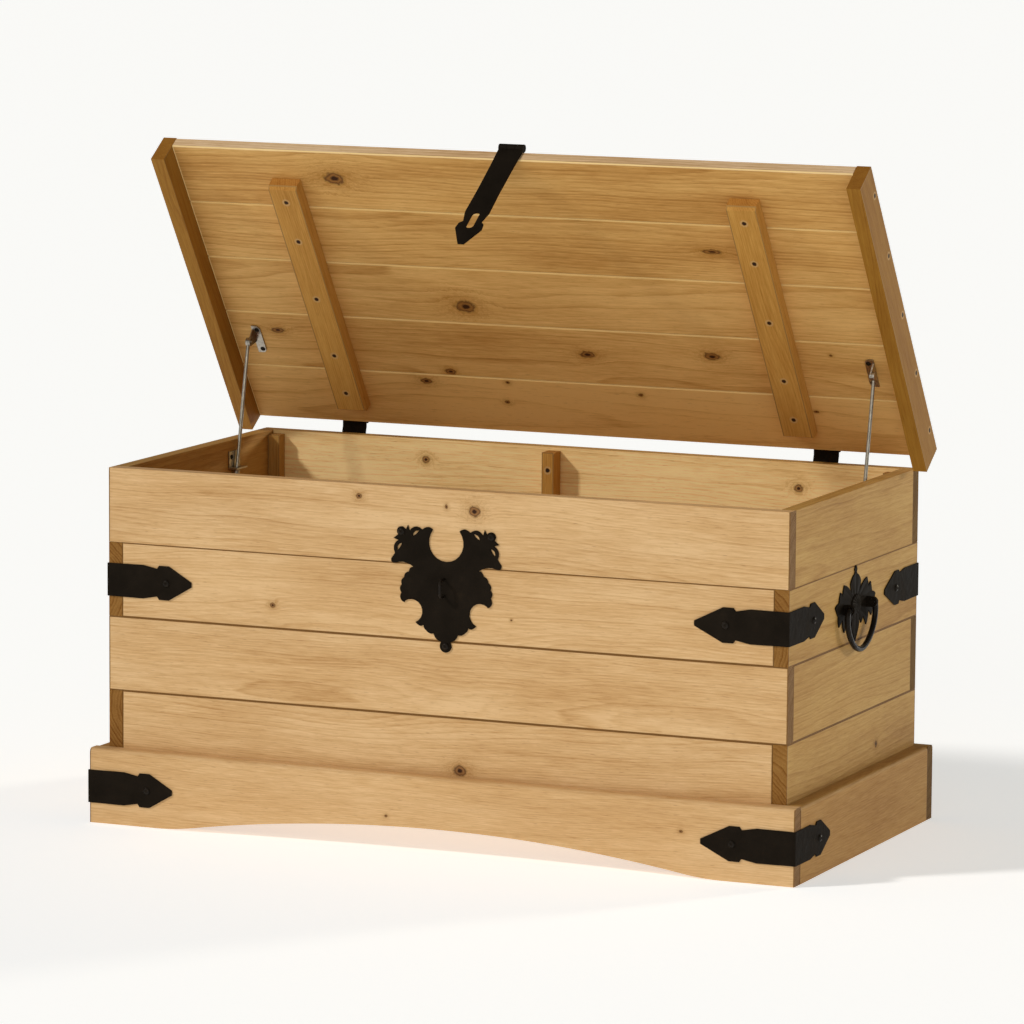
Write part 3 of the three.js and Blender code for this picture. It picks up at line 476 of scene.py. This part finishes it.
def join_screws(g, pine, place, face, screws):
    sums = {"Head": 0.0, "Rim": 0.0}
    for along, across in screws:
        screw = g.add("ShaderNodeGroup", node_tree=SCREW)
        g.wire(screw.inputs["Vector"], g.vector("MULTIPLY", place, (1, 1, 0)))
        screw.inputs["Centre"].default_value = (along * MM, across * MM, 0)
        for name in sums:
            sums[name] = g.math("MAXIMUM", screw.outputs[name], sums[name])
    for name, total in sums.items():
        g.wire(pine.inputs[name], g.math("MULTIPLY", face, total))


# ---- Iron and zinc ----
VEINS = 7
FLAT_LIMIT = 0.97
IRON_STOPS = [
    (0.3, (0.0105, 0.0080, 0.0056)), (0.6, (0.0150, 0.0112, 0.0078)), (0.8, (0.022, 0.0155, 0.0100))]
ZINC_STOPS = [(0.3, (0.34, 0.31, 0.26)), (0.7, (0.50, 0.47, 0.41))]


def iron_material(name, chased=None, index=1.06, gloss=0.36):
    """Black paint over forged iron: faint dents, a browner bloom, and chased veins round a point."""
    material = bpy.data.materials.new(name)
    material.use_nodes = True
    g = Graph(material.node_tree)
    shader = material.node_tree.nodes["Principled BSDF"]
    place = g.add("ShaderNodeTexCoord").outputs["Object"]
    bloom = g.noise(place, 30, 4, 0.6)
    dents = g.noise(place, 110, 2)
    grit = g.noise(place, 1400, 2)
    g.wire(shader.inputs["Base Color"], g.ramp(bloom, IRON_STOPS))
    g.wire(shader.inputs["Roughness"], g.ramp(bloom, [(0.3, gloss), (0.7, gloss + 0.14)]))
    height = g.math("ADD", dents, g.math("MULTIPLY", grit, 0.08))
    if chased is not None:
        away = g.split(g.vector("SUBTRACT", place, chased))
        angle = g.math("ARCTAN2", away[1], g.math("MULTIPLY", away[2], 1.4))
        veins = g.math("ABSOLUTE", g.math("SINE", g.math("MULTIPLY", angle, VEINS)))
        height = g.math("ADD", g.math("MULTIPLY", height, 0.5), veins)
    g.wire(shader.inputs["Normal"], g.bump(height, 0.0012, 0.5))
    shader.inputs["IOR"].default_value = index
    return material


def zinc_material():
    """Bright zinc plate with a slightly cloudy, drawn surface."""
    material = bpy.data.materials.new("zinc")
    material.use_nodes = True
    g = Graph(material.node_tree)
    shader = material.node_tree.nodes["Principled BSDF"]
    place = g.add("ShaderNodeTexCoord").outputs["Object"]
    cloud = g.noise(place, 160, 3)
    drawn = g.noise(g.vector("MULTIPLY", place, (900, 900, 60)), 1, 3)
    g.wire(shader.inputs["Base Color"], g.ramp(cloud, ZINC_STOPS))
    g.wire(shader.inputs["Roughness"], g.ramp(drawn, [(0.3, 0.24), (0.7, 0.42)]))
    g.wire(shader.inputs["Normal"], g.bump(drawn, 0.0001, 0.6))
    shader.inputs["Metallic"].default_value = 1.0
    return material


IRON = iron_material("black_iron")
RUBBED_IRON = iron_material("rubbed_iron", None, 1.2, 0.18)
ZINC = zinc_material()


def paint(obj, material):
    for slot in obj.material_slots:
        slot.material = material
    if not obj.material_slots:
        obj.data.materials.append(material)


# ---- Timber ----
def ease_edges(obj, width, segments=2):
    bevel = obj.modifiers.new("eased_edges", "BEVEL")
    bevel.width = width
    bevel.segments = segments
    bevel.limit_method = "ANGLE"
    bevel.angle_limit = math.radians(40)


Timber = collections.namedtuple("Timber", "grain width tone spacing figured figure edge tint end seam")
PLAIN = (1.0, 1.0, 1.0)
FRONT_TINT = (0.93, 0.91, 0.885)
# Painted shade: the side, plinth-side and lid tints are yellower than the front's, and the side tints
# darker, as the same pine looks on faces turned from the main light; the back boards and corner posts take
# the side tint too.
SIDE_TINT = (0.69, 0.61, 0.36)
PLINTH_SIDE_TINT = (0.67, 0.575, 0.34)
LID_TINT = (0.98, 0.88, 0.59)
RAIL_TINT = (0.455, 0.325, 0.092)
BATTEN_TINT = (0.79, 0.63, 0.29)
# End-grain tints. The front and back boards show their ends on the sides, so their end tints are darker
# still: painted shade for the sides.
FRONT_END = (0.155, 0.085, 0.024)
SIDE_END = (0.38, 0.25, 0.12)
BACK_END = (0.10, 0.055, 0.016)
LID_END = (0.72, 0.60, 0.48)
RAIL_END = (0.92, 0.80, 0.72)
# Depth of colour of the lid boards from the hinge to the free edge: the hinge board is painted much paler
# and the boards toward the free edge darker, painted light to even out the shade along the lid.
LID_TONES = (0.06, 0.38, 0.31, 0.43, 0.42)
# Colours of the band along board edges: painted shade in the joints of walls and plinth and along rails,
# battens and posts; a pale line on the lid boards.
JOINT_SHADE = (0.19, 0.088, 0.020)
RAIL_EDGE_SHADE = (0.34, 0.19, 0.06)
PALE_SEAM = (0.98, 0.74, 0.33)
BODY_EDGE = 0.0014
LID_EDGE = 0.0005
CALM = 0.9
EVEN = 1.3
LIVELY = 1.5


def body_timber(name):
    """Boards of the four walls and the plinth."""
    if name.startswith("front_board"):
        return Timber(ALONG_X, ALONG_Z, 0.29, FINE_GRAIN, name.endswith("3"), EVEN, BODY_EDGE,
                      FRONT_TINT, FRONT_END, JOINT_SHADE)
    # Back boards: a paler tone, painted light for their inner face, which the open lid shades.
    if name.startswith("back_board"):
        return Timber(ALONG_X, ALONG_Z, 0.15, FINE_GRAIN, True, EVEN, BODY_EDGE,
                      SIDE_TINT, BACK_END, JOINT_SHADE)
    if name.startswith(("left_board", "right_board")):
        return Timber(ALONG_Y, ALONG_Z, 0.30, COARSE_GRAIN, True, EVEN, BODY_EDGE,
                      SIDE_TINT, SIDE_END, JOINT_SHADE)
    if name == "plinth_front":
        return Timber(ALONG_X, ALONG_Z, 0.29, FINE_GRAIN, False, CALM, BODY_EDGE,
                      FRONT_TINT, FRONT_END, JOINT_SHADE)
    if name == "plinth_back":
        return Timber(ALONG_X, ALONG_Z, 0.29, FINE_GRAIN, False, CALM, BODY_EDGE,
                      SIDE_TINT, BACK_END, JOINT_SHADE)
    # The plinth's sides: a darker tone and tint than the side boards, painted shade.
    return Timber(ALONG_Y, ALONG_Z, 0.44, FINE_GRAIN, False, CALM, BODY_EDGE,
                  PLINTH_SIDE_TINT, SIDE_END, JOINT_SHADE)


def timber_facts(name):
    """How a timber node is sawn, coloured and eased, or None for a node of metal."""
    if name.startswith("lid_board"):
        tone = LID_TONES[int(name[-1]) - 1]
        return Timber(ALONG_X, -LID_BACK, tone, COARSE_GRAIN, True, LIVELY, LID_EDGE,
                      LID_TINT, LID_END, PALE_SEAM)
    if name.startswith("lid_rail"):
        return Timber(-LID_BACK, LID_UP, 0.34, FINE_GRAIN, False, EVEN, BODY_EDGE,
                      RAIL_TINT, RAIL_END, RAIL_EDGE_SHADE)
    if name.startswith("lid_batten"):
        return Timber(-LID_BACK, ALONG_X, 0.34, FINE_GRAIN, False, EVEN, BODY_EDGE,
                      BATTEN_TINT, LID_END, RAIL_EDGE_SHADE)
    if name.startswith(("corner_post", "wall_batten")):
        tint = SIDE_TINT if name.startswith("corner_post") else BATTEN_TINT
        return Timber(ALONG_Z, ALONG_X, 0.36, FINE_GRAIN, False, CALM, BODY_EDGE,
                      tint, LID_END, RAIL_EDGE_SHADE)
    if name == "bottom_panel":
        return Timber(ALONG_X, ALONG_Y, 0.2, COARSE_GRAIN, True, CALM, LID_EDGE,
                      PLAIN, LID_END, JOINT_SHADE)
    if "_board_" in name or name.startswith("plinth"):
        return body_timber(name)
    return None


def dress_timber():
    for name, obj in NODES.items():
        timber = timber_facts(name)
        if timber is not None:
            paint(obj, pine_material(name, timber))
            ease_edges(obj, timber.edge)


def shade_smooth(obj, angle):
    """Smooth shading over curved faces, with edges sharper than the angle kept crisp."""
    obj.data.polygons.foreach_set("use_smooth", [True] * len(obj.data.polygons))
    obj.data.set_sharp_from_angle(angle=math.radians(angle))


def rub_domes(obj):
    """The domed heads and turned edges, rubbed to a softer shine than the flats."""
    obj.data.materials.append(RUBBED_IRON)
    for face in obj.data.polygons:
        if max(abs(part) for part in face.normal) < FLAT_LIMIT:
            face.material_index = 1


def dress_metal():
    for name, obj in NODES.items():
        if timber_facts(name) is not None:
            continue
        shade_smooth(obj, 40)
        if name.startswith("stay_"):
            paint(obj, ZINC)
        elif name.startswith("handle_plate"):
            low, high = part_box(name)
            paint(obj, iron_material(name + "_iron", (low + high) / 2))
            ease_edges(obj, 0.0004)
        else:
            paint(obj, RUBBED_IRON if "bail" in name or "staple" in name else IRON)
            ease_edges(obj, 0.0003)
            if name.startswith(("corner_strap", "latch_plate")):
                rub_domes(obj)


# ---- Nails and screws that have no solid of their own ----
NAIL_PROFILE = [(5.0, 0), (5.1, 0.35), (4.6, 1.1), (3.3, 1.95), (1.6, 2.4), (0, 2.5)]
SCREW_PROFILE = [(3.6, 0), (3.6, 0.35), (3.1, 0.8), (2.3, 1.0), (1.9, 0.95), (1.2, 0.55), (0, 0.35)]


def lathe(name, profile, sides=20):
    """A round head turned from a profile of radius and height in mm, standing on its own XY plane."""
    shape = bmesh.new()
    rings = []
    for radius, height in profile[:-1]:
        ring = [2 * math.pi * step / sides for step in range(sides)]
        points = [Vector((radius * math.cos(a), radius * math.sin(a), height)) * MM for a in ring]
        rings.append([shape.verts.new(point) for point in points])
    crown = shape.verts.new((0, 0, profile[-1][1] * MM))
    for lower, upper in zip(rings, rings[1:]):
        for step in range(sides):
            after = (step + 1) % sides
            shape.faces.new((lower[step], lower[after], upper[after], upper[step]))
    for step in range(sides):
        shape.faces.new((rings[-1][step], rings[-1][(step + 1) % sides], crown))
    shape.faces.new(list(reversed(rings[0])))
    mesh = bpy.data.meshes.new(name)
    shape.to_mesh(mesh)
    shape.free()
    return mesh


NAIL = lathe("nail_head", NAIL_PROFILE)
SCREW_HEAD = lathe("screw_head", SCREW_PROFILE)


def fasten(name, mesh, place, normal, body, scale=1.0):
    """One head on a face, turned at random and leaning by a hair, riding with its body."""
    head = bpy.data.objects.new(name, mesh.copy())
    lean = Vector((RNG.uniform(-1, 1), RNG.uniform(-1, 1), RNG.uniform(-1, 1))) * 0.03
    turn = (normal + lean).to_track_quat("Z", "Y").to_matrix().to_4x4()
    spin = Matrix.Rotation(RNG.uniform(0, math.pi), 4, "Z")
    bpy.context.scene.collection.objects.link(head)
    head.matrix_world = Matrix.Translation(place) @ turn @ spin @ Matrix.Scale(scale, 4)
    head.data.materials.append(RUBBED_IRON)
    shade_smooth(head, 50)
    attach(head, body)


LID_FRAME = board_frame(-LID_BACK, ALONG_X)
FLANGE_T = 2 * MM

# Where the heads sit along their fittings, in mm from the fitting's middle or lower edge.
BRACKET_SCREWS = (-17.5, 17.5)
BRACKET_INSET = 1.5 * MM
GUIDE_SCREWS = (-10, 10)
GUIDE_SCREW_DROP = 8 * MM
STRAP_NAILS = (-48, -2, 66)
LEAF_NAILS = (14, 44)
LEAF_NAIL_SCALE = 0.8
HASP_NAILS = (18, -22)

# How far the upper face of a fitting on the lid lies from the middle of its box.
STRAP_TOP = 1.5 * MM
HASP_TOP = -3.5 * MM


def fasten_stays():
    for side, inward in (("left", 1), ("right", -1)):
        middle, half = board_box("stay_bracket_" + side, LID_FRAME)
        for number, along in enumerate(BRACKET_SCREWS, 1):
            spot = middle + Vector((along * MM, inward * BRACKET_INSET, half.z - FLANGE_T))
            spot = LID_FRAME.transposed() @ spot
            fasten(f"bracket_screw_{side}_{number}", SCREW_HEAD, spot, -LID_UP, "lid")
        low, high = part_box("stay_guide_" + side)
        wall = low.x if inward > 0 else high.x
        for number, along in enumerate(GUIDE_SCREWS, 1):
            across = (low.y + high.y) / 2 + along * MM
            spot = Vector((wall + inward * FLANGE_T, across, high.z - GUIDE_SCREW_DROP))
            fasten(f"guide_screw_{side}_{number}", SCREW_HEAD, spot, ALONG_X * inward, "carcass")


def fasten_hinges():
    for side in ("left", "right"):
        middle = board_box("hinge_strap_" + side, LID_FRAME)[0]
        for number, along in enumerate(STRAP_NAILS, 1):
            spot = middle + Vector((along * MM, 0, STRAP_TOP))
            fasten(f"hinge_nail_{side}_{number}", NAIL, LID_FRAME.transposed() @ spot, LID_UP, "lid")
        low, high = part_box("hinge_leaf_" + side)
        for number, rise in enumerate(LEAF_NAILS, 1):
            spot = Vector(((low.x + high.x) / 2, low.y + FLANGE_T, low.z + rise * MM))
            fasten(f"hinge_leaf_nail_{side}_{number}", NAIL, spot, ALONG_Y, "carcass", LEAF_NAIL_SCALE)
    middle = board_box("hasp_leaf", LID_FRAME)[0]
    for number, along in enumerate(HASP_NAILS, 1):
        spot = middle + Vector((along * MM, 0, HASP_TOP))
        fasten(f"hasp_nail_{number}", NAIL, LID_FRAME.transposed() @ spot, LID_UP, "lid")


# ---- Stage ----
FLOOR_HALF = 70
FLOOR_DROP = 0.0005
FLOOR_COLOUR = (0.93, 0.93, 0.93)
FLOOR_ROUGH = 0.95
FLOOR_GLOW = 0.48
SKY_COLOUR = (1.0, 0.955, 0.87, 1)
SKY_STRENGTH = 0.15

# Each sun: its name, the way its light travels, strength, colour and width in degrees.
SUNS = [
    ("key", (0.60, 0.52, -0.60), 1.53, (1.0, 0.965, 0.92), 6),
    ("front", (-0.10, 0.97, -0.16), 0.54, (1.0, 0.95, 0.82), 50),
    ("side", (-0.54, -0.76, -0.22), 1.05, (1.0, 0.93, 0.76), 8)]


def floor_material():
    """Pale matt paper with a faint glow of its own, so that it stays near white."""
    material = bpy.data.materials.new("floor")
    material.use_nodes = True
    shader = material.node_tree.nodes["Principled BSDF"]
    shader.inputs["Base Color"].default_value = (*FLOOR_COLOUR, 1)
    shader.inputs["Roughness"].default_value = FLOOR_ROUGH
    shader.inputs["Specular IOR Level"].default_value = 0.1
    shader.inputs["Emission Color"].default_value = (0.93, 0.97, 1.0, 1)
    shader.inputs["Emission Strength"].default_value = FLOOR_GLOW
    return material


def make_floor():
    """A floor wide enough to meet the sky out of sight."""
    mesh = bpy.data.meshes.new("floor")
    corners = [(x * FLOOR_HALF, y * FLOOR_HALF, 0) for x, y in ((-1, -1), (1, -1), (1, 1), (-1, 1))]
    mesh.from_pydata(corners, [], [(0, 1, 2, 3)])
    floor = bpy.data.objects.new("floor", mesh)
    bpy.context.scene.collection.objects.link(floor)
    floor.location.z = -FLOOR_DROP
    floor.data.materials.append(floor_material())


def make_sun(name, travel, strength, colour, angle):
    light = bpy.data.lights.new(name, "SUN")
    light.energy = strength
    light.color = colour
    light.angle = math.radians(angle)
    holder = bpy.data.objects.new(name, light)
    holder.rotation_euler = (-Vector(travel)).to_track_quat("Z", "Y").to_euler()
    bpy.context.scene.collection.objects.link(holder)


def make_lights():
    for sun in SUNS:
        make_sun(*sun)
    world = bpy.data.worlds.new("studio")
    world.use_nodes = True
    bpy.context.scene.world = world
    g = Graph(world.node_tree)
    soft = world.node_tree.nodes["Background"]
    soft.inputs["Color"].default_value = SKY_COLOUR
    soft.inputs["Strength"].default_value = SKY_STRENGTH
    seen = g.add("ShaderNodeBackground")
    seen.inputs["Color"].default_value = (1, 1, 1, 1)
    seen.inputs["Strength"].default_value = 1.0
    pick = g.add("ShaderNodeMixShader")
    g.wire(pick.inputs[0], g.add("ShaderNodeLightPath").outputs["Is Camera Ray"])
    g.wire(pick.inputs[1], soft.outputs[0])
    g.wire(pick.inputs[2], seen.outputs[0])
    g.wire(world.node_tree.nodes["World Output"].inputs["Surface"], pick.outputs[0])
    bpy.context.scene.view_settings.view_transform = "Standard"


make_camera()
make_lights()
make_floor()
dress_timber()
dress_metal()
fasten_stays()
fasten_hinges()
